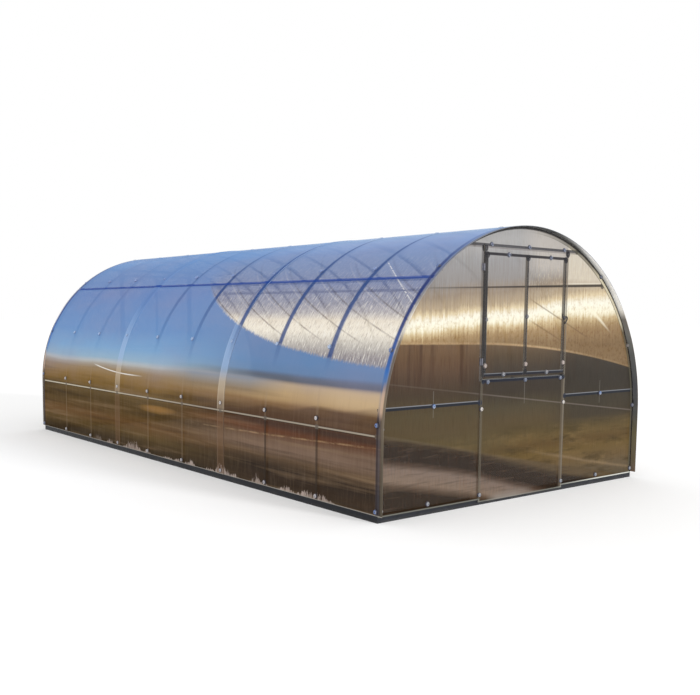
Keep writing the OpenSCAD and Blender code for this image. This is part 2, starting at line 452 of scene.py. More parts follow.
# flat plates bolt the bars of each gable to its posts and arch, on the inner side
bar_end = math.sqrt(inside ** 2 - (bar_at - springing) ** 2)
rail_end = math.sqrt(inside ** 2 - (rail_at - springing) ** 2)
joints = bmesh.new()
for side in (-1, 1):
    for x, z, half_wide, half_high in (
            (post_at, bar_at - 0.008, 0.022, 0.018), (post_at - 0.006, sill_at, 0.020, 0.016),
            (post_at + 0.006, rail_at, 0.020, 0.016), (post_at, end_high.z + 0.010, 0.009, 0.042),
            (bar_end, bar_at, 0.030, 0.009), (rail_end, rail_at, 0.028, 0.009)):
        plate(joints, (side * x - half_wide, end_face + 0.0002, z - half_high),
              (side * x + half_wide, end_face + 0.0020, z + half_high))
        for off_x in ((0.0,) if half_wide < 0.01 else (0.010 - half_wide, half_wide - 0.010)):
            add(joints, bolt, standing((side * x + off_x, end_face + 0.0020, z), (0, 1, 0)))
bmesh.ops.remove_doubles(joints, verts=joints.verts[:], dist=1e-7)
back_half = joints.copy()
half_turn = Matrix.Rotation(math.pi, 4, "Z")
add(joints, back_half, half_turn)
back_half.free()
finished("gable_joint_plates", joints, "steel_tube", zinc)

# ---- Covers ----
# Three sheets of 4 mm twin-wall bronze polycarbonate, 2.1 m wide, bent cold over the
# arches with their flutes running up and over. The tubes show through where the sheet
# lies on them, and are also painted on it as dark lines with painted shade. The glossy
# skin is painted with a reflection of the blue of open sky over the tan of dry fields.
lap_at = abs(first_arch + 3 * arch_pitch)
TUBE = 0.0105  # half the width of a tube as it shows through


def stripe(value, centre, half, soft=0.0015):
    """1 within half of centre, and 0 beyond it."""
    return spread(abs(value - centre), half - soft, half + soft, 1.0, 0.0)


def between(value, low, high):
    """1 from low to high, and 0 beyond them."""
    return stripe(value, (low + high) / 2, (high - low) / 2)


def most(*values):
    """The largest of several values."""
    largest = values[0]
    for value in values[1:]:
        largest = calc("MAXIMUM", largest, value)
    return largest


def ramp(value, low, high, stops):
    """Steps of colour along a value. A stop is its place, from low to high, and three numbers
    for a colour as it shows on a screen, or one for a plain grey."""
    node = tree.nodes.new("ShaderNodeValToRGB")
    band = node.color_ramp
    while len(band.elements) < len(stops):
        band.elements.new(0.5)
    for element, (place, *colour) in zip(band.elements, stops):
        element.position = (place - low) / (high - low)
        element.color = srgb(*colour) if len(colour) == 3 else (*colour * 3, 1.0)
    feed(node.inputs["Fac"], spread(value, low, high))
    return node.outputs["Color"]


def place_of(x, y, z=0.0):
    """A place made up from separate X, Y and Z."""
    node = tree.nodes.new("ShaderNodeCombineXYZ")
    for socket, value in zip(node.inputs, (x, y, z)):
        feed(socket, value)
    return node.outputs[0]


def vectors(operation, *values):
    """One Vector Math node, whole, because its use may be a vector or a number."""
    node = tree.nodes.new("ShaderNodeVectorMath")
    node.operation = operation
    for socket, value in zip(node.inputs, values):
        feed(socket, value)
    return node


cover_sheet, tree, shader = finish_of("bronze_cover", 0.16, 0.5)
shader.inputs["IOR"].default_value = 1.012
coordinates, across, along, height = place_on()
facing = tree.nodes.new("ShaderNodeNewGeometry")
outward = vectors("NORMALIZE", place_of(across, 0.0, most(height - springing, 0.0)))
outness = Reading(vectors("DOT_PRODUCT", outward.outputs[0],
                          facing.outputs["True Normal"]).outputs["Value"])
looks_out = outness > 0.4
looks_in = outness < -0.4
cut_edge = 1 - (looks_out + looks_in)
from_middle = abs(along)

# up: metres up the sheet from the ground; on: metres along it from the middle, with
# the front on the left side and the back on the right side below zero
turned = calc("ARCTAN2", most(height - springing, 0.0), abs(across))
up = calc("MINIMUM", height, springing) + turned * arch_radius
on = along * calc("SIGN", across) * -1.0
unrolled = place_of(on, up)

soft_wave = wander(unrolled, (0.45, 0.9, 1), 0.016, detail=2.0)
level = up + soft_wave
flute = grain(unrolled, (95, 1.6, 1), detail=4.0, roughness=0.7)
rib = calc("PINGPONG", along, 0.005)

# painted reflection of brown ground and tan fields low down and blue sky higher up, a little
# different on the near and far halves
far_half = ramp(level, 0.0, 3.0, [
    (0.04, 58, 47, 33), (0.1, 67, 54, 36), (0.2, 94, 75, 44), (0.3, 107, 79, 48),
    (0.4, 90, 70, 40), (0.5, 84, 66, 36), (0.6, 106, 86, 54), (0.66, 121, 93, 46),
    (0.74, 139, 110, 66), (0.82, 152, 129, 98), (0.87, 167, 159, 148), (0.895, 182, 186, 187),
    (0.94, 148, 177, 200), (1.05, 125, 165, 206), (1.25, 108, 146, 197), (1.7, 107, 136, 189),
    (1.95, 110, 140, 190), (2.2, 108, 143, 194), (2.5, 108, 150, 204), (2.95, 118, 170, 210)])
near_half = ramp(level, 0.0, 3.0, [
    (0.04, 50, 42, 34), (0.1, 62, 48, 36), (0.21, 44, 34, 26), (0.3, 88, 69, 50),
    (0.37, 124, 101, 84), (0.44, 112, 89, 72), (0.51, 90, 55, 35), (0.58, 74, 48, 33),
    (0.66, 98, 76, 57), (0.73, 132, 103, 73), (0.765, 177, 147, 107), (0.82, 186, 158, 119),
    (0.885, 184, 163, 138), (0.915, 94, 98, 108), (0.945, 98, 107, 124), (0.975, 103, 132, 170),
    (1.05, 103, 136, 179), (1.3, 108, 136, 180), (2.2, 124, 148, 194), (2.5, 142, 166, 208),
    (2.95, 162, 188, 212)])
paint = blend(spread(on, 0.1, -1.5), far_half, near_half)

# painted reflection: long streaks of the field in the lower part, and of cloud in the upper
field = grain(unrolled, (0.55, 13, 1), detail=4.0)
below = spread(up, 0.58, 0.95, 1.0, 0.0)
paint = blend(below * spread(field, 0.52, 0.72, 0.0, 0.42), paint, (156, 128, 98))
paint = blend(below * spread(field, 0.48, 0.3, 0.0, 0.5), paint, (40, 30, 22))
near = spread(on, -0.3, -1.2)
paint = blend(near * stripe(level, 0.56, 0.024, 0.02) * 0.5, paint, (66, 48, 40))
paint = blend(near * stripe(level, 0.52, 0.016, 0.02) * spread(field, 0.35, 0.6, 0.3, 0.6)
              * spread(on, -2.8, -2.3, 0.1, 1.0), paint, (106, 64, 41))
scallop = 0.014 * calc("COSINE", (on - first_arch) * (math.tau / arch_pitch))
border = 0.642 + scallop + 0.07 * (-1.09 - on)
paint = blend(near * spread(up - border, 0.01, -0.014) * spread(up, 0.575, 0.6) * 0.55,
              paint, (82, 62, 48))
furrow = up + soft_wave * 0.6 + (on + 2.3) * 0.03
clods = grain(unrolled, (7, 24, 1), detail=4.0, roughness=0.7)
paint = blend(near * stripe(furrow, 0.492, 0.004, 0.006) * spread(clods, 0.42, 0.58, 0.08, 0.7),
              paint, (182, 148, 108))
stubble = ((on - 0.15) / 0.36) ** 2.0 + ((level - 0.492) / 0.034) ** 2.0
paint = blend(spread(stubble + spread(field, 0.3, 0.7, -0.7, 0.7), 1.5, 0.3) * 0.7, paint,
              (158, 118, 66))
cloud = grain(unrolled, (0.8, 1.8, 1), detail=3.0)
paint = blend((1 - below) * spread(cloud, 0.45, 0.75, 0.0, 0.35), paint, (140, 140, 172))
paint = blend(spread(flute, 0.35, 0.7, 0.0, 0.2), paint, (206, 202, 200), kind="SOFT_LIGHT")

# painted reflection: haze over the crest of the field, and dry grass on it near the front
haze = ramp(up, 0.6, 1.0, [
    (0.74, 146, 122, 92), (0.8, 136, 119, 98), (0.86, 138, 140, 144), (0.91, 124, 142, 166)])
paint = blend(spread(up, 0.73, 0.79) * spread(up, 0.93, 0.89) * spread(on, 0.1, -0.5)
              * spread(on, -1.9, -1.4) * 0.8, paint, haze)
paint = blend(spread(up, 0.72, 0.78) * spread(up, 0.9, 0.86) * spread(on, -2.2, -2.6) * 0.5,
              paint, (212, 184, 144))

# painted reflection: high up, the sheet shows a deeper sky, deepest at the back
zenith = blend(spread(on, -1.0, 1.5), (0.64, 0.82, 0.92, 1.0), (0.22, 0.5, 0.72, 1.0))
paint = blend(spread(up, 2.42, 2.76), paint, zenith, kind="MULTIPLY")

# thin uneven pale and dark streaks run down the flutes in the lower part
down_streaks = grain(unrolled, (42, 3.5, 1), detail=4.0, roughness=0.7)
paint = blend(below * spread(down_streaks, 0.5, 0.66, 0.0, 0.08), paint, (156, 132, 112))
paint = blend(below * spread(down_streaks, 0.48, 0.34, 0.0, 0.12), paint, (46, 33, 26))

# painted highlights: tips of sunlit grass along the foot of the sheet
blades = grain(unrolled, (70, 9, 1), detail=3.0, roughness=0.7)
gusts = spread(grain(unrolled, (2.4, 0, 1), detail=2.0), 0.47, 0.6, 0.0, 0.085)
from_second_arch = abs(on - (first_arch + arch_pitch + 0.02))
tufts = most(gusts * spread(on, -2.1, -1.9), spread(from_second_arch, 0.24, 0.12, 0.0, 0.06))
tips = (spread(up - (0.052 + tufts * spread(blades, 0.35, 0.65)), 0.006, -0.004)
        * spread(on, 1.6, 1.2))
paint = blend(tips * spread(blades, 0.38, 0.62, 0.3, 0.85), paint, (196, 178, 168))

# painted light: the bright sunlit far wall as if seen through the front part, under a falling
# curve of painted sky, with bright painted flecks and darker grain in it
falling = 1.0 + 0.85 * calc("EXPONENT", on / 1.1)
ragged = wander(unrolled, (60, 9, 1), 0.016, detail=4.0, roughness=0.75)
glow = (spread(up - falling + ragged, -0.008, 0.016) * spread(on, 0.15, -0.35)
        * spread(up, 1.8, 2.3, 1.0, 0.0))
painted_far_light = ramp(level, 1.0, 2.4, [
    (1.02, 146, 148, 166), (1.12, 168, 162, 166), (1.2, 206, 200, 192), (1.3, 253, 245, 228),
    (1.4, 242, 231, 213), (1.47, 182, 177, 182), (1.55, 148, 149, 168), (1.75, 114, 128, 170),
    (2.3, 112, 138, 180)])
glow_mottle = grain(unrolled, (120, 22, 1), detail=4.0, roughness=0.75)
painted_far_light = blend(spread(glow_mottle, 0.5, 0.66) * spread(up, 1.9, 1.6, 0.2, 0.55), painted_far_light,
                (172, 154, 142), kind="MULTIPLY")
glow_flecks = grain(unrolled, (75, 12, 1), detail=4.0, roughness=0.7)
painted_far_light = blend(spread(glow_flecks, 0.52, 0.66) * spread(up, 1.75, 1.35, 0.1, 0.8), painted_far_light,
                (255, 250, 240))
painted_far_light = blend(spread(glow_flecks, 0.44, 0.34) * spread(up, 1.9, 1.6, 0.15, 0.5), painted_far_light,
                (170, 160, 164), kind="MULTIPLY")

# painted shade: in it the far arches stand as slanting dark ghosts, each with a painted lit side
drop = 2.04 - up
to_far_arch = on + 1.1 + (drop * 0.96 + drop * drop * 1.19)
far_pitch = 0.22
broken = spread(grain(unrolled, (5, 9, 1), detail=3.0), 0.35, 0.55, 0.4, 1.0)
ghost = (stripe(calc("PINGPONG", to_far_arch, far_pitch), 0.0, 0.013, 0.013)
         * spread(up, 1.2, 1.32) * spread(up, 1.8, 1.5, 0.35, 1.0) * spread(up, 2.3, 2.0) * broken)
painted_far_light = blend(ghost * 0.75, painted_far_light, (134, 120, 120), kind="MULTIPLY")
lit_side = (stripe(calc("PINGPONG", to_far_arch - 0.065, far_pitch), 0.0, 0.008, 0.012)
            * spread(up, 1.36, 1.46) * spread(up, 2.05, 1.7) * broken)
painted_far_light = blend(lit_side * 0.25, painted_far_light, (240, 232, 224))
paint = blend(glow, paint, painted_far_light)

# glints of low sun: a bright curve by the back lap, and a dashed one near the front
curve = 0.792 + 0.085 * most(on - 0.72, 0.0) ** 2.0
glint = stripe(up - curve, 0.0, 0.004, 0.004) * spread(on, 0.46, 0.75) * spread(on, 1.62, 1.5)
slope = up - 2.016 - 0.739 * (on + 2.379)
beads = spread(grain(unrolled, (0, 60, 1), detail=2.0), 0.42, 0.52)
dashes = (stripe(slope + soft_wave * -0.5, 0.0, 0.004, 0.004) * spread(on, -2.34, -2.42)
          * beads)
paint = blend(most(glint * 0.95, dashes * 0.7), paint, (250, 248, 244))

# doubled sheets at the laps show as a paler band with two bright cut edges, their colours
# following the painted reflection of field and sky
lap_off = from_middle - lap_at
lap_fades = spread(up, 1.1, 1.55, 1.0, 0.0)
lap = stripe(lap_off, 0.0, 0.054, 0.004) * lap_fades
lap_edges = most(stripe(lap_off, -0.046, 0.004, 0.003),
                 stripe(lap_off, 0.046, 0.004, 0.003)) * lap_fades
low_lap = blend(spread(up, 0.57, 0.62), (134, 108, 88), (204, 188, 166))
lap_colour = blend(spread(up, 0.84, 0.95), low_lap, (168, 193, 228))
paint = blend(lap * spread(up, 0.66, 0.8, 0.3, 0.55), paint, lap_colour)
paint = blend(lap_edges * 0.45, paint, lap_colour)

# tubes that lie against the sheet, painted on it as dark lines widened by painted shade on one
# side; the low purlin with a painted lit face between painted dark edges; and a paler sky blue
# painted along the crest
to_arch = calc("PINGPONG", along - first_arch, arch_pitch / 2)
to_side = calc("PINGPONG", on - (first_arch - 0.03), arch_pitch / 2)
at_end = spread(from_middle, 2.9, 2.91)
arch_line = stripe(to_arch, 0.0, 0.013, 0.004) * (1 - at_end)
end_band = stripe(from_middle, 3.002, 0.019, 0.008)
end_tube = between(from_middle, -end_face, 3.001)
eaves_band = between(from_middle, 3.001, 3.037)
rim_strip = spread(from_middle, 3.024, 3.034)
low_line = stripe(height, low_purlin, TUBE)
upper_line = stripe(turned, upper_purlin, 0.016 / arch_radius, 0.002)
band_half = spread(up, 1.7, 2.1, 0.027, 0.017)
arch_band = spread(to_side - band_half, 0.009, -0.009) * (1 - at_end)
shows = most(glow * 0.88, spread(on, 1.0, -1.2, 0.08, 0.8) * spread(up, 1.0, 1.6))
shows = shows * spread(up, 1.95, 2.7, 1.0, 0.25)
paint = blend(arch_band * shows, paint, (54, 84, 144))
paint = blend(spread(up, 2.76, 2.93), paint, (112, 156, 204))
paint = blend(upper_line * 0.85, paint, (38, 74, 158))
end_shows = spread(up, 0.9, 1.05, 0.25, 0.95) * spread(up, 1.75, 2.3, 1.0, 0.35)
end_colour = ramp(up, 0.0, 2.9, [
    (0.92, 84, 112, 150), (1.02, 60, 112, 184), (1.18, 52, 98, 174), (1.4, 46, 66, 130),
    (1.8, 46, 62, 122)])
paint = blend(end_band * end_shows, paint, end_colour)
low_contact = low_line * spread(from_middle, 2.97, 2.96)
low_face = (spread(height, low_purlin - 0.006, low_purlin - 0.003)
            * spread(height, low_purlin + 0.009, low_purlin + 0.006))
lit_face = blend(spread(on, -0.5, 2.0), (172, 162, 146), (216, 208, 186))
paint = blend(low_contact * 0.85, paint, blend(low_face, (58, 46, 38), lit_face))
under = 1 - spread(up, 0.58, 0.62)
foot_line = arch_line * spread(up, 0.92, 0.8) * (1 - lap)
paint = blend(foot_line * (1 - under * near) * 0.2, paint, (160, 140, 118))
paint = blend(foot_line * under * near * 0.65, paint, (58, 50, 44))
cross_blob = stripe(to_arch, 0.0, 0.02, 0.003) * stripe(height, low_purlin, 0.016, 0.003)
paint = blend(cross_blob * 0.75, paint, (104, 96, 88))
# painted reflection on the strip past the gable, darker low down and paler higher; the end arch
# painted dark behind the sheet low down; a painted highlight at mid height along the sheet's end
# edge; and a pale line along the foot
eaves_colour = blend(spread(up, 0.35, 0.6), (72, 64, 57), (98, 89, 79))
eaves_colour = blend(spread(up, 0.7, 0.76), eaves_colour, (206, 174, 150))
paint = blend(eaves_band * spread(up, 0.97, 0.9) * 0.6, paint, eaves_colour)
paint = blend(end_tube * spread(up, 0.76, 0.7) * 0.8, paint, (60, 51, 48))
edge_colour = ramp(up, 0.0, 2.9, [
    (0.05, 88, 82, 72), (0.4, 92, 85, 74), (0.7, 118, 108, 94), (0.95, 108, 98, 88),
    (1.25, 104, 98, 92), (1.36, 222, 217, 207), (1.45, 226, 221, 211), (1.58, 156, 152, 147),
    (1.8, 124, 128, 142), (2.8, 110, 116, 126)])
paint = blend(rim_strip * 0.9, paint, edge_colour)
paint = blend(spread(up, 0.056, 0.053), paint, (168, 164, 156))

# the inner face, with a painted pale glow from mid height up; its strip past the gable, with
# painted shade low down and near the top and a painted white highlight at mid height; and the cut
# edges, whose colours follow the painted reflection
inner = ramp(height, 0.0, 2.1, [
    (0.05, 110, 94, 74), (0.35, 112, 98, 58), (0.8, 100, 90, 66), (0.95, 86, 80, 70),
    (1.15, 170, 160, 140), (1.35, 222, 210, 184), (1.6, 206, 202, 196), (2.05, 168, 170, 174)])
eaves = ramp(height, 0.0, 2.1, [
    (0.05, 116, 92, 72), (0.16, 104, 88, 52), (0.4, 104, 92, 48), (0.58, 76, 74, 66),
    (0.8, 66, 66, 72), (1.1, 96, 98, 94), (1.26, 124, 122, 116), (1.39, 116, 110, 102),
    (1.48, 245, 244, 238), (1.58, 240, 240, 236), (1.65, 206, 204, 200), (1.86, 200, 200, 196),
    (1.96, 84, 84, 80), (2.09, 60, 60, 56)])
lit_edge = (spread(from_middle, 3.012, 3.04) * spread(height, 1.42, 1.5)
            * spread(height, 2.06, 1.9))
eaves = blend(lit_edge, eaves, (1.0, 1.0, 1.0, 1.0))
past_gable = spread(from_middle, 3.0, 3.001)
inner = blend(past_gable, inner, eaves)
paint = blend(looks_in, paint, inner)
flute_ends = spread(calc("PINGPONG", along, 0.003), 0.001, 0.0014)
lap_cut = ramp(up, 0.0, 2.9, [
    (0.57, 120, 100, 84), (0.62, 188, 168, 142), (0.86, 184, 172, 156), (0.95, 152, 176, 208),
    (1.3, 130, 158, 198), (2.8, 150, 178, 214)])
cut_colour = blend(spread(from_middle, 2.9, 2.8), edge_colour, lap_cut)
paint = blend(cut_edge, paint, blend(flute_ends * 0.3, cut_colour, (88, 80, 70)))
feed(shader.inputs["Base Color"], paint)

# how much of the sheet is solid to the eye; the back of every face is clear
solidity = ramp(up, 0.0, 3.0, [
    (0.05, 0.985), (0.6, 0.97), (0.9, 0.96), (1.05, 0.95), (2.0, 0.94), (2.95, 0.96)])
outer_alpha = blend(glow * 0.9, solidity, (0.8, 0.8, 0.8, 1.0))
outer_alpha = blend(most(arch_band * shows, upper_line), outer_alpha, (0.8, 0.8, 0.8, 1.0))
inner_alpha = most(spread(height, 0.95, 1.25, 0.92, 0.55), past_gable * 0.96)
solid = blend(looks_in, outer_alpha, inner_alpha)
solid = most(solid, cut_edge) * (1 - Reading(facing.outputs["Backfacing"]))
feed(shader.inputs["Alpha"], solid)
bump(shader, flute + rib * 40.0, 0.0012, 0.3)
dress(cover_sheet, "cover_front", "cover_middle", "cover_back")

# ---- Gable sheets ----
# Flat cuts of the same sheet, with upright flutes, screwed to the end arches and
# bars: one on each side, a lower one between the posts, a round top and the window's.
# Their colour is a painted reflection of sky, a sunlit band and hills, over a painted
# view of dark soil inside, with the tubes behind painted as dark lines with painted shade.
gable_sheet, tree, shader = finish_of("bronze_gable", 0.18, 0.5)
shader.inputs["IOR"].default_value = 1.1
coordinates, across, along, height = place_on()
facing = tree.nodes.new("ShaderNodeNewGeometry")
direction = tree.nodes.new("ShaderNodeSeparateXYZ")
feed(direction.inputs[0], facing.outputs["True Normal"])
outness = direction.outputs["Y"] * calc("SIGN", along)
looks_out = outness > 0.5
looks_in = outness < -0.5
cut_edge = 1 - (looks_out + looks_in)

# beside: metres to the right of the middle, seen from outside; aside: to either side
beside = across * calc("SIGN", along) * -1.0
aside = abs(across)
flat_place = place_of(beside, height)
soft_wave = wander(flat_place, (0.9, 1.3, 1), 0.03, detail=2.0)
fine_wave = wander(flat_place, (60, 1.8, 1), 0.028, detail=4.0, roughness=0.7)
level = height + soft_wave
flute = grain(flat_place, (130, 3.5, 1), detail=4.0, roughness=0.75)
rib = calc("PINGPONG", across, 0.005)

# painted reflection: sky and a painted sunlit band above the ridge of the field, which falls to
# the right, with painted hills and meadow below it and a darker patch under the band on the right
to_right = most(beside + 0.6, 0.0)
ridge = 1.212 - 0.012 * (beside + 1.3) - 0.05 * to_right * to_right
above_ridge = height - ridge
rise = (level + fine_wave - (1.43 + beside * 0.08)) / spread(beside, 0.1, 1.1, 1.0, 1.75)
right_sky = spread(beside, 0.48, 0.5) * spread(height, 1.62, 1.72)
middle_sky = spread(beside, -0.1, 0.15) * spread(height, 1.7, 1.8)
sunlit = ramp(rise, -0.45, 0.55, [
    (-0.45, 118, 96, 72), (-0.2, 146, 121, 88), (-0.12, 174, 146, 106), (-0.07, 222, 202, 160),
    (-0.035, 255, 250, 226), (0.02, 255, 252, 236), (0.06, 230, 212, 176), (0.1, 186, 168, 140),
    (0.18, 158, 142, 124), (0.28, 152, 148, 146), (0.42, 158, 157, 158), (0.55, 176, 175, 174)])
hill = ramp(height, 0.5, 1.25, [
    (0.52, 92, 78, 54), (0.62, 92, 79, 58), (0.72, 84, 76, 60), (0.84, 68, 61, 54),
    (0.93, 68, 62, 56), (1.02, 78, 70, 62), (1.12, 92, 78, 62), (1.22, 112, 92, 70)])
left_hill = ramp(height, 0.5, 1.25, [
    (0.52, 92, 79, 60), (0.72, 90, 78, 56), (0.86, 82, 68, 54), (0.95, 96, 75, 60),
    (1.06, 114, 86, 66), (1.16, 122, 94, 70)])
hill = blend(spread(beside, -0.35, -0.75, 0.0, 0.6), hill, left_hill)
hill = blend(spread(beside, 0.25, 0.65, 0.0, 0.7) * spread(height, 0.5, 0.58), hill,
             (62, 58, 52))
meadow = ramp(height, 0.0, 0.6, [
    (0.05, 92, 82, 66), (0.14, 106, 92, 72), (0.24, 112, 92, 62), (0.33, 110, 90, 54),
    (0.4, 98, 78, 48), (0.46, 106, 88, 56), (0.55, 90, 78, 52)])
dry_grass = grain(flat_place, (2.2, 8, 1), detail=5.0, roughness=0.65)
meadow = blend(spread(dry_grass, 0.5, 0.68, 0.0, 0.5), meadow, (136, 113, 76))
dark_grass = grain(flat_place, (2.6, 15, 1), detail=5.0, roughness=0.7)
meadow = blend(spread(dark_grass, 0.5, 0.36, 0.0, 0.6), meadow, (66, 56, 36))
meadow = blend(spread(beside, 0.0, -0.5, 0.0, 0.6), meadow, (98, 87, 64))
ground = blend(spread(height, 0.48, 0.6), meadow, hill)
paint = blend(spread(above_ridge, -0.003, 0.004), ground, sunlit)
paint = blend(stripe(above_ridge, 0.008, 0.007, 0.006) * spread(beside, -0.6, 0.0, 0.35, 0.75)
              * spread(beside, 0.3, 0.9, 1.0, 0.22), paint, (206, 178, 138))
paint = blend(spread(beside, 0.3, 0.75) * spread(rise, -0.05, -0.09) * spread(rise, -0.28, -0.2),
              paint, (0.8, 0.76, 0.7, 1.0), kind="MULTIPLY")

# painted view of dark soil and a pale track that run down to the right inside, and bright painted
# sky reflection high up at the right and in the middle
soil = height + beside * 0.19 - (0.3 + soft_wave * 0.35)
soil_colour = ramp(soil + to_right * 0.06, -0.5, 0.02, [
    (-0.5, 44, 31, 17), (-0.36, 45, 32, 18), (-0.325, 92, 75, 60), (-0.29, 132, 113, 97),
    (-0.2, 126, 109, 98), (-0.165, 78, 62, 50), (-0.13, 42, 30, 19), (-0.05, 44, 32, 21),
    (-0.01, 66, 54, 39), (0.02, 94, 78, 54)])
soil_grain = grain(flat_place, (3, 40, 1), detail=3.0, roughness=0.6)
soil_colour = blend(spread(soil_grain, 0.5, 0.34, 0.0, 0.3), soil_colour, (38, 28, 20))
soil_colour = blend(spread(soil_grain, 0.54, 0.7, 0.0, 0.12), soil_colour, (142, 122, 106))
soil_colour = blend(spread(flute, 0.5, 0.66, 0.0, 0.1), soil_colour, (136, 96, 76))
paint = blend(spread(soil, 0.012, -0.012), paint, soil_colour)
paint = blend(stripe(soil, 0.075, 0.01, 0.008) * spread(beside, 0.0, 0.5, 0.0, 0.5), paint,
              (150, 128, 100))
paint = blend(spread(beside, 0.42, 0.5) * spread(height + beside * 0.15, 0.215, 0.185) * 0.75,
              paint, (40, 30, 22))
paint = blend(right_sky * 0.85, paint, (222, 212, 194))
paint = blend(middle_sky * (1 - right_sky) * 0.8, paint, (196, 189, 181))

# fine streaks along the flutes; in the painted reflection, mottle and painted glitter highlights
# where it is bright, and dark bark-like streaks where it is not
streaks = spread(flute, 0.46, 0.66)
bright = spread(above_ridge, -0.003, 0.006)
mottle = grain(flat_place, (34, 26, 1), detail=4.0, roughness=0.7)
paint = blend(streaks * spread(height, 1.95, 1.55, 0.2, 0.5) * bright
              * spread(abs(rise), 0.0, 0.1, 0.35, 1.0), paint, (200, 176, 142), kind="MULTIPLY")
paint = blend(spread(mottle, 0.5, 0.66) * bright * spread(rise, 0.14, 0.04) * 0.5, paint,
              (196, 164, 116), kind="MULTIPLY")
bark = grain(flat_place, (13, 0.5, 1), detail=4.0, roughness=0.65)
paint = blend(spread(bark, 0.5, 0.64) * (1 - bright) * spread(height, 0.85, 0.98)
              * spread(beside, -0.3, -0.6, 0.15, 0.55), paint, (64, 46, 40))
paint = blend(streaks * 0.45 * (1 - bright), paint, (206, 192, 176), kind="SOFT_LIGHT")
glitter = grain(flat_place, (90, 16, 1), detail=4.0, roughness=0.75)
paint = blend(spread(glitter, 0.52, 0.66) * spread(beside, -0.1, 0.15) * spread(rise, 0.1, 0.16)
              * spread(height, 1.95, 1.75) * 0.4, paint, (240, 226, 196))
paint = blend(spread(glitter, 0.46, 0.34) * spread(rise, 0.1, 0.16) * 0.16, paint, (112, 106, 104))
hair = grain(flat_place, (210, 7, 1), detail=3.0, roughness=0.7)
paint = blend(spread(hair, 0.5, 0.36, 0.0, 0.3) * (1 - bright), paint, (150, 138, 124),
              kind="MULTIPLY")

# painted lines for the far purlins seen through: two dark ones slant down over the
# sunlit band, a level one crosses above it with a painted highlight on its top, and a
# pale one falls across the hill; a painted glint curves down on the right, and pale
# painted lines stand low at the sides and in the middle
purlin_line = 1.638 + beside * 0.034
purlin_off = abs(height - purlin_line)
level_line = (spread(purlin_off - spread(beside, -0.4, 0.6, 0.005, 0.01), 0.003, -0.003)
              * spread(beside, -1.1, -0.4, 0.2, 0.9) * spread(beside, 0.985, 0.975))
paint = blend(level_line, paint, (54, 49, 48))
lit_top = (stripe(height - purlin_line, 0.019, 0.004, 0.004) * spread(beside, 0.35, 0.6)
           * spread(beside, 0.985, 0.975))
paint = blend(lit_top * 0.55, paint, (246, 238, 222))
past_catch = beside - 0.773
glint_path = 1.505 - 0.6 * past_catch - 0.18 * past_catch ** 2.0
glint_width = spread(beside, 0.66, 0.85, 0.0, 0.02) * spread(beside, 1.13, 0.9)
glint = (spread(abs(height - glint_path) - glint_width, 0.01, -0.014)
         * spread(glint_width, 0.001, 0.01))
paint = blend(glint * 0.75, paint, (255, 248, 222))
for start, low, high in ((1.558, 0.02, 0.86), (1.395, 0.02, 0.50)):
    slant = (stripe(height - (start - beside * 0.40), 0.0, 0.006, 0.005)
             * spread(beside, low, low + 0.1) * spread(beside, high, high - 0.15))
    paint = blend(slant * 0.6, paint, (116, 90, 62))
pale_line = height - (0.776 - beside * 0.1195)
paint = blend(stripe(pale_line, 0.0, 0.004, 0.004) * spread(beside, -0.8, -0.3, 0.2, 0.55), paint,
              (140, 128, 120))
rays = most(stripe(aside, 0.99, 0.002, 0.002) * between(height, 0.69, 0.88),
            stripe(aside, 0.0, 0.002, 0.002) * between(height, 0.74, sill_at))
paint = blend(rays * 0.4, paint, (170, 166, 160))

# tubes that lie against the sheets, painted on them: the front of each painted dark,
# and its shaded side painted through the sheet on the left of it; painted pale lit tops
# along the horizontal tubes, a paler painted underside on the crossbar, dark painted
# ends at the joints, and painted glints along the end arch
SIDE = 0.022  # how much of a tube's side shows
RIM = 0.0205  # how far the end arch reaches in from its outer radius
reach = calc("SQRT", across * across + most(height - springing, 0.0) ** 2.0)


def spot(aside, height, at_side, at_height, radius):
    """1 on a round patch of the sheet."""
    apart = place_of(aside - at_side, height - at_height)
    return spread(vectors("LENGTH", apart).outputs["Value"], radius - 0.002, radius + 0.002,
                  1.0, 0.0)


def upright(beside, centre):
    """The front and the left side of an upright tube, as two masks."""
    return stripe(beside, centre, TUBE), between(beside, centre - TUBE - SIDE, centre - TUBE)


in_window = between(height, frame_low.z, frame_high.z)
over_sill = (height > sill_at) * (height < bar_at)
under_sill = height < sill_at
inside_posts = aside < post_at
inside_stiles = aside < stile_at + TUBE
left_post, left_post_side = upright(beside, -post_at)
right_post, right_post_side = upright(beside, post_at)
left_stile = stripe(beside, -stile_at, TUBE)
right_stile, right_stile_side = upright(beside, stile_at)
mullion, mullion_side = upright(beside, 0.0)
rim = between(reach, arch_radius - RIM, arch_radius + 0.01)
rim_side = (between(reach, arch_radius - RIM - SIDE, arch_radius - RIM)
            * spread(beside, 0.0, 0.6))
ends = most(*[spot(aside, height, *place) for place in (
    (0.0, sash_top - 0.014, 0.025), (0.0, sash_foot + 0.012, 0.021),
    (stile_at, sash_top - 0.010, 0.025), (post_at, bar_at - 0.024, 0.030))])
rail_ends = most(spot(beside, height, 0.972, 1.668, 0.026),
                 spot(aside, height, bar_end - 0.02, bar_at - 0.004, 0.018))
side_ends = most(spot(aside, height, post_at - 0.012, sill_at, 0.022),
                 spot(aside, height, post_at + 0.016, rail_at, 0.022))
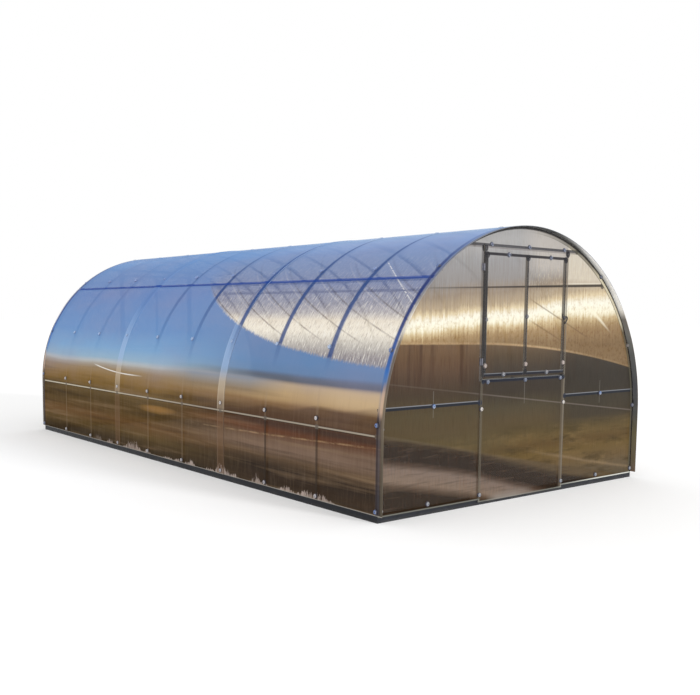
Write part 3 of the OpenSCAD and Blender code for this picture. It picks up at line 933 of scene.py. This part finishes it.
for mask, share, colour in (
        (left_post_side * over_sill, 0.6, (112, 107, 104)),
        (right_post * over_sill, 0.65, (122, 115, 104)),
        (most(right_stile_side, mullion_side) * in_window, 0.85, (98, 92, 84)),
        (most(left_stile, right_stile, mullion) * in_window, 0.9, (70, 66, 64)),
        (between(beside, -post_at - TUBE, -stile_at + TUBE) * in_window, 0.9, (62, 60, 60)),
        (left_post * over_sill, 0.9, (66, 64, 64)),
        (left_post_side * under_sill, 0.45, (66, 56, 46)),
        (left_post * under_sill, 0.5, (112, 105, 92)),
        (right_post_side * under_sill, 0.5, (112, 102, 90)),
        (right_post * under_sill, 0.8, (126, 116, 102)),
        (between(beside, post_at + TUBE, post_at + TUBE + 0.008) * under_sill, 0.6, (58, 50, 44)),
        (between(beside, post_at + TUBE - 0.004, post_at + TUBE + 0.002)
         * most(over_sill, under_sill), 0.5, (168, 162, 150)),
        (stripe(height, bar_at - TUBE - 0.006, 0.006)
         * spread(reach, arch_radius - 0.02, arch_radius - 0.021), 0.6, (126, 120, 118)),
        (stripe(height, bar_at, TUBE), 0.92, (84, 82, 86)),
        (stripe(height, sash_top, TUBE) * inside_stiles, 0.95, (54, 52, 56)),
        (stripe(height, sash_foot, TUBE) * inside_stiles, 0.95, (46, 48, 56)),
        (stripe(height, sash_foot + 0.009, 0.003) * inside_stiles, 0.8, (138, 140, 146)),
        (stripe(height, sill_at, TUBE) * inside_posts, 0.95, (42, 46, 58)),
        (stripe(height, sill_at + 0.012, 0.003) * inside_posts, 0.8, (132, 136, 142)),
        (stripe(height, rail_at, TUBE) * (1 - inside_posts), 0.95, (44, 48, 56)),
        (stripe(height, rail_at + 0.012, 0.003) * (1 - inside_posts), 0.85, (150, 152, 158)),
        (ends, 0.95, (52, 51, 55)),
        (side_ends, 0.85, (50, 54, 66)),
        (rail_ends * spread(beside, 0.0, 0.1, 0.3, 0.8), 1.0, (84, 78, 70)),
        (rim_side, 0.7, (102, 99, 84)),
        (rim_side * stripe(reach, arch_radius - 0.0405, 0.003), 0.6, (70, 64, 54)),
        (rim, 0.9, (54, 51, 51))):
    paint = blend(mask * share, paint, colour)
rim_glints = most(stripe(reach, arch_radius - 0.006, 0.006),
                  stripe(reach, arch_radius - 0.04, 0.004) * 0.7)
paint = blend(most(rim_side, rim) * spread(height, 1.28, 1.36) * spread(height, 1.82, 1.72)
              * spread(beside, 0.2, 0.6), paint,
              blend(rim_glints, (222, 212, 184), (58, 52, 46)))
lines = most(most(left_stile, right_stile, mullion, mullion_side, right_stile_side) * in_window,
             most(left_post, right_post, left_post_side) * over_sill, rim)
# a pale line along the lower edge of the sheets, a painted highlight that grows brighter to the
# right, and a pale patch of the painted soil view low between the posts
side_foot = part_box("front_sheet_left")[0].z
lower_edge = side_foot + inside_posts * (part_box("front_sheet_lower")[0].z - side_foot)
paint = blend(spread(height - lower_edge, 0.011, 0.008) * spread(beside, 0.4, 1.0, 0.65, 0.9),
              paint, blend(spread(beside, 0.4, 1.0), (146, 148, 140), (236, 238, 230)))
paint = blend(inside_posts * spread(height, 0.085, 0.045) * spread(beside, 0.15, -0.1)
              * spread(beside, -0.42, -0.3) * 0.55, paint, (162, 154, 146))

# painted shade: all of the gable is a third darker, as the front gable faces the low lamp; its
# inner face is paler higher up, and its cut edges are plain
paint = blend(1.0, paint, (0.66, 0.66, 0.66, 1.0), kind="MULTIPLY")
paint = blend(looks_in, paint, ramp(height, 0.0, 2.1, [
    (0.05, 96, 86, 70), (0.9, 110, 100, 84), (1.3, 196, 184, 158), (2.05, 176, 176, 176)]))
paint = blend(cut_edge, paint, blend(in_window, (150, 144, 130), (96, 92, 86)))
feed(shader.inputs["Base Color"], paint)

outer_alpha = ramp(above_ridge, -0.2, 1.1, [
    (-0.2, 0.96), (-0.01, 0.95), (0.01, 0.95), (0.3, 0.94), (1.1, 0.92)])
outer_alpha = blend(lines, outer_alpha, (0.8, 0.8, 0.8, 1.0))
solid = blend(looks_in, outer_alpha, (0.7, 0.7, 0.7, 1.0))
solid = most(solid, cut_edge) * (1 - Reading(facing.outputs["Backfacing"]))
feed(shader.inputs["Alpha"], solid)
bump(shader, flute + rib * 40.0, 0.0012, 0.35)
dress(gable_sheet, *[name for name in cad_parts
                     if "_sheet" in name and not name.startswith("cover")])

# ---- Window fittings ----
# Pressed steel hinges, two leaves on a rolled knuckle, screwed to the post and the
# stile, and a black turn catch on the other stile: a round boss with a bent rod.
black_steel, tree, shader = finish_of("black_steel", 0.45, 0.5)
coordinates = place_on()[0]
feed(shader.inputs["Base Color"],
     blend(grain(coordinates, (60, 60, 60)), (22, 22, 28), (50, 50, 58)))
bump(shader, grain(coordinates, (300, 300, 300)), 0.0003, 0.5)

hinge_steel, tree, shader = finish_of("hinge_steel", 0.35, 0.5)
coordinates = place_on()[0]
feed(shader.inputs["Base Color"],
     blend(grain(coordinates, (40, 40, 40)), (86, 86, 94), (126, 126, 136)))
shader.inputs["Metallic"].default_value = 0.5
bump(shader, grain(coordinates, (260, 260, 260)), 0.0003, 0.5)
dress(hinge_steel, "window_hinges")
dress(black_steel, "window_catch", "back_window_fittings")

screw = lathe([(0.0, 0.0), (0.0036, 0.0), (0.0036, 0.0006), (0.0026, 0.0016), (0.0, 0.0018)], 8)
hinge_low, hinge_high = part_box("window_hinges")
hinge_half = 0.025
pin_x = hinge_low.x + 0.016
pin_y = hinge_low.y + 0.0045
sash_face, post_face = -3.0089, -3.0046
hinges = bmesh.new()
for middle in (hinge_low.z + hinge_half, hinge_high.z - hinge_half):
    low, high = middle - hinge_half, middle + hinge_half
    plate(hinges, (pin_x, pin_y + 0.0035, low), (pin_x + 0.016, sash_face, high))
    plate(hinges, (pin_x - 0.016, pin_y + 0.0035, low), (pin_x, post_face, high))
    for number in range(3):
        knuckle = lathe([(0.0, 0.0), (0.0042, 0.0), (0.0045, 0.0004), (0.0045, 0.0156),
                         (0.0042, 0.0160), (0.0, 0.0160)], 14)
        add(hinges, knuckle, Matrix.Translation((pin_x, pin_y, low + 0.001 + number * 0.0160)))
        knuckle.free()
    pin = lathe([(0.0, 0.0), (0.0022, 0.0), (0.0026, 0.0006), (0.0026, 0.0504),
                 (0.0022, 0.0510), (0.0, 0.0510)], 10)
    add(hinges, pin, Matrix.Translation((pin_x, pin_y, low - 0.0005)))
    pin.free()
    for x in (pin_x - 0.0105, pin_x + 0.0105):
        for z in (middle - 0.016, middle + 0.016):
            add(hinges, screw, standing((x, pin_y + 0.0035, z), (0, -1, 0)))

boss_low, boss_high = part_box("window_catch")
boss_at = (boss_low.x + 0.013, boss_high.z - 0.013)
boss = lathe([(0.0, 0.0), (0.0140, 0.0), (0.0150, 0.0012), (0.0150, 0.0040), (0.0120, 0.0066),
              (0.0070, 0.0078), (0.0, 0.0082)], 20)
catch = bmesh.new()
add(catch, boss, standing((boss_at[0], sash_face, boss_at[1]), (0, -1, 0)))
add(catch, screw, standing((boss_at[0], sash_face - 0.0080, boss_at[1]), (0, -1, 0)))
bend = bpy.data.curves.new("catch_rod", "CURVE")
bend.dimensions = "3D"
bend.bevel_depth = 0.0040
bend.bevel_resolution = 3
bend.resolution_u = 8
bend.use_fill_caps = True
rod = bend.splines.new("BEZIER")
rod_path = ((-0.028, 0.032), (-0.020, 0.008), (0.0, 0.0), (0.016, 0.012), (0.036, 0.002),
            (0.028, -0.020), (0.004, -0.044))
rod.bezier_points.add(len(rod_path) - 1)
for point, (x, z) in zip(rod.bezier_points, rod_path):
    point.co = (boss_at[0] + x, sash_face - 0.0050, boss_at[1] + z)
    point.handle_left_type = point.handle_right_type = "AUTO"
rod_object = bpy.data.objects.new("catch_rod", bend)
scene.collection.objects.link(rod_object)
bpy.context.view_layer.update()
rod_mesh = bpy.data.meshes.new_from_object(rod_object.evaluated_get(
    bpy.context.evaluated_depsgraph_get()))
catch.from_mesh(rod_mesh)
bpy.data.objects.remove(rod_object)
bpy.data.curves.remove(bend)
bpy.data.meshes.remove(rod_mesh)

for face in catch.faces:
    face.material_index = 1
back = bmesh.new()
add(back, hinges, half_turn)
add(back, catch, half_turn)
for face in catch.faces:
    face.material_index = 0
front_hinges = finished("hinges_with_screws", hinges, "black_metal", hinge_steel)
front_catch = finished("turn_catch", catch, "black_metal", black_steel)
back_set = finished("back_hinges_and_catch", back, "black_metal", hinge_steel, black_steel)
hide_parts("window_hinges")
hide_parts("window_catch")
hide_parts("back_window_fittings")

# ---- Sealing washers ----
# Round plastic washers with a rubber skirt and a snap cap over the screw hold every
# sheet to the tubes behind it. Their colours are a painted reflection that follows the
# painted sheets around them: sky blue high up and darker low down.
skirt_rubber, tree, shader = finish_of("washer_rubber", 0.6, 0.4)
coordinates, _, along, height = place_on()
# painted reflection: the skirt's colour follows the painted sheets around it, sky blue high up,
# paler low at the back and darker on the gables
skirt_colour = ramp(height, 0.0, 2.1, [
    (0.7, 60, 57, 66), (0.95, 84, 122, 178), (1.5, 112, 138, 190), (1.75, 118, 138, 186),
    (2.05, 150, 182, 220)])
low_back = spread(along, -1.5, 1.0, 0.0, 0.7) * spread(height, 0.95, 0.75)
skirt_colour = blend(low_back, skirt_colour, (156, 148, 140))
skirt_colour = blend(spread(abs(along), 3.0, 3.001), skirt_colour, (52, 50, 64))
feed(shader.inputs["Base Color"],
     blend(spread(grain(coordinates, (90, 90, 90)), 0.3, 0.7, 0.0, 0.25), skirt_colour,
           (96, 94, 108)))
feed(shader.inputs["Alpha"], spread(height, 0.75, 1.05, 0.9, 0.35))
bump(shader, grain(coordinates, (400, 400, 400)), 0.0002, 0.3)

cap_plastic, tree, shader = finish_of("washer_cap", 0.35, 0.4)
coordinates, across, along, height = place_on()
# painted reflection: the cap's colour follows the painted sheet it sits on, darker low down
on_cover = ramp(height, 0.0, 2.1, [
    (0.3, 196, 192, 196), (0.75, 208, 202, 200), (0.95, 196, 218, 246), (1.3, 190, 210, 240),
    (1.6, 142, 162, 206), (1.85, 128, 152, 202), (2.05, 150, 182, 220)])
on_gable = ramp(height, 0.0, 2.1, [
    (0.06, 128, 134, 150), (0.12, 156, 156, 142), (0.5, 120, 130, 150), (0.68, 204, 198, 188),
    (0.74, 204, 198, 188), (0.78, 96, 128, 176), (0.9, 104, 116, 140), (0.97, 140, 144, 150),
    (1.03, 194, 180, 172), (1.2, 150, 145, 140), (1.39, 112, 112, 116), (2.0, 120, 128, 150)])
from_middle = abs(along)
on_cover = blend(spread(from_middle, 2.9, 2.91), on_cover, (92, 120, 176))
on_gable = blend(spread(abs(across), 1.4, 1.41) * spread(height, 0.5, 0.6), on_gable,
                 (104, 108, 120))
pale = blend(spread(from_middle, 3.0, 3.001), on_cover, on_gable)
darker_low = blend(spread(height, 0.75, 0.95), (104, 102, 112), pale)
feed(shader.inputs["Base Color"],
     blend(spread(grain(coordinates, (1.7, 1.7, 1.7)), 0.3, 0.7, 0.0, 0.35), pale, darker_low))
feed(shader.inputs["Alpha"], spread(height, 0.75, 1.05, 1.0, 0.55))
bump(shader, grain(coordinates, (400, 400, 400)), 0.0002, 0.3)

washer = lathe([(0.0, 0.0), (0.0195, 0.0), (0.0195, 0.0022), (0.0152, 0.0084),
                (0.0105, 0.0130), (0.0046, 0.0138), (0.0, 0.0124)], 10)
for face in washer.faces:
    centre = face.calc_center_median()
    middle = math.hypot(centre.x, centre.y)
    rubber = middle > 0.0150 or (middle < 0.0035 and centre.z > 0.005)
    face.material_index = 0 if rubber else 1

low_washer = washer.copy()
bmesh.ops.scale(low_washer, vec=(1.0, 1.0, 0.3), verts=low_washer.verts[:])

row_angles = [math.radians(turn) for turn in (22.9, 50.7, 78.4)]
cover_washers = bmesh.new()
cover_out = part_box("cover_middle")[1].x + 0.0001
lapped_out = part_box("cover_front")[1].x
for number, y in enumerate(arches):
    out = (lapped_out if number in (3, 6) else cover_out) + 0.0001
    high_foot = 0.658 if 0 < number < 9 else 0.672
    for side in (-1, 1):
        add(cover_washers, washer, standing((side * out, y, 0.080), (side, 0, 0)))
        for angle in ((high_foot - springing) / out, *row_angles):
            shape = low_washer if angle > 1.0 else washer
            add(cover_washers, shape, standing(
                (side * out * math.cos(angle), y, springing + out * math.sin(angle)),
                (side * math.cos(angle), 0, math.sin(angle))))
finished("cover_washers", cover_washers, "cover_sheet", skirt_rubber, cap_plastic)

gable_washers = bmesh.new()
window_spots = [(side * stile_at, frame_low.z + 0.080) for side in (-1, 0, 1)] + [
    (-stile_at, 1.385), (0.0, 1.41), (-0.23, sash_top), (0.27, sash_top),
    (-0.258, sash_foot), (0.258, sash_foot)]
lower_spots = [(x, sill_at - 0.006) for x in (-0.431, 0.0, 0.436)]
top_spots = [(x, bar_at + 0.004) for x in (-0.42, 0.01, 0.44)]
side_spots = []
rim_row = 1.490
for side in (-1, 1):
    side_spots += [(side * post_at, 0.724), (side * post_at, 0.078), (side * 0.99, rail_at),
                   (side * 1.0 - 0.033, 0.078), (side * 1.477, 0.643), (side * 1.477, 0.082)]
    side_spots += [(side * rim_row * math.cos(angle), springing + rim_row * math.sin(angle))
                   for angle in row_angles[:2]]
for spots, face in ((window_spots + lower_spots, sash_face), (side_spots + top_spots, post_face)):
    for x, z in spots:
        add(gable_washers, washer, standing((x, face, z), (0, -1, 0)))
front_half = gable_washers.copy()
add(gable_washers, front_half, half_turn)
front_half.free()
finished("gable_washers", gable_washers, "gable_sheet", skirt_rubber, cap_plastic)
for part in (bolt, screw, boss, washer, low_washer):
    part.free()
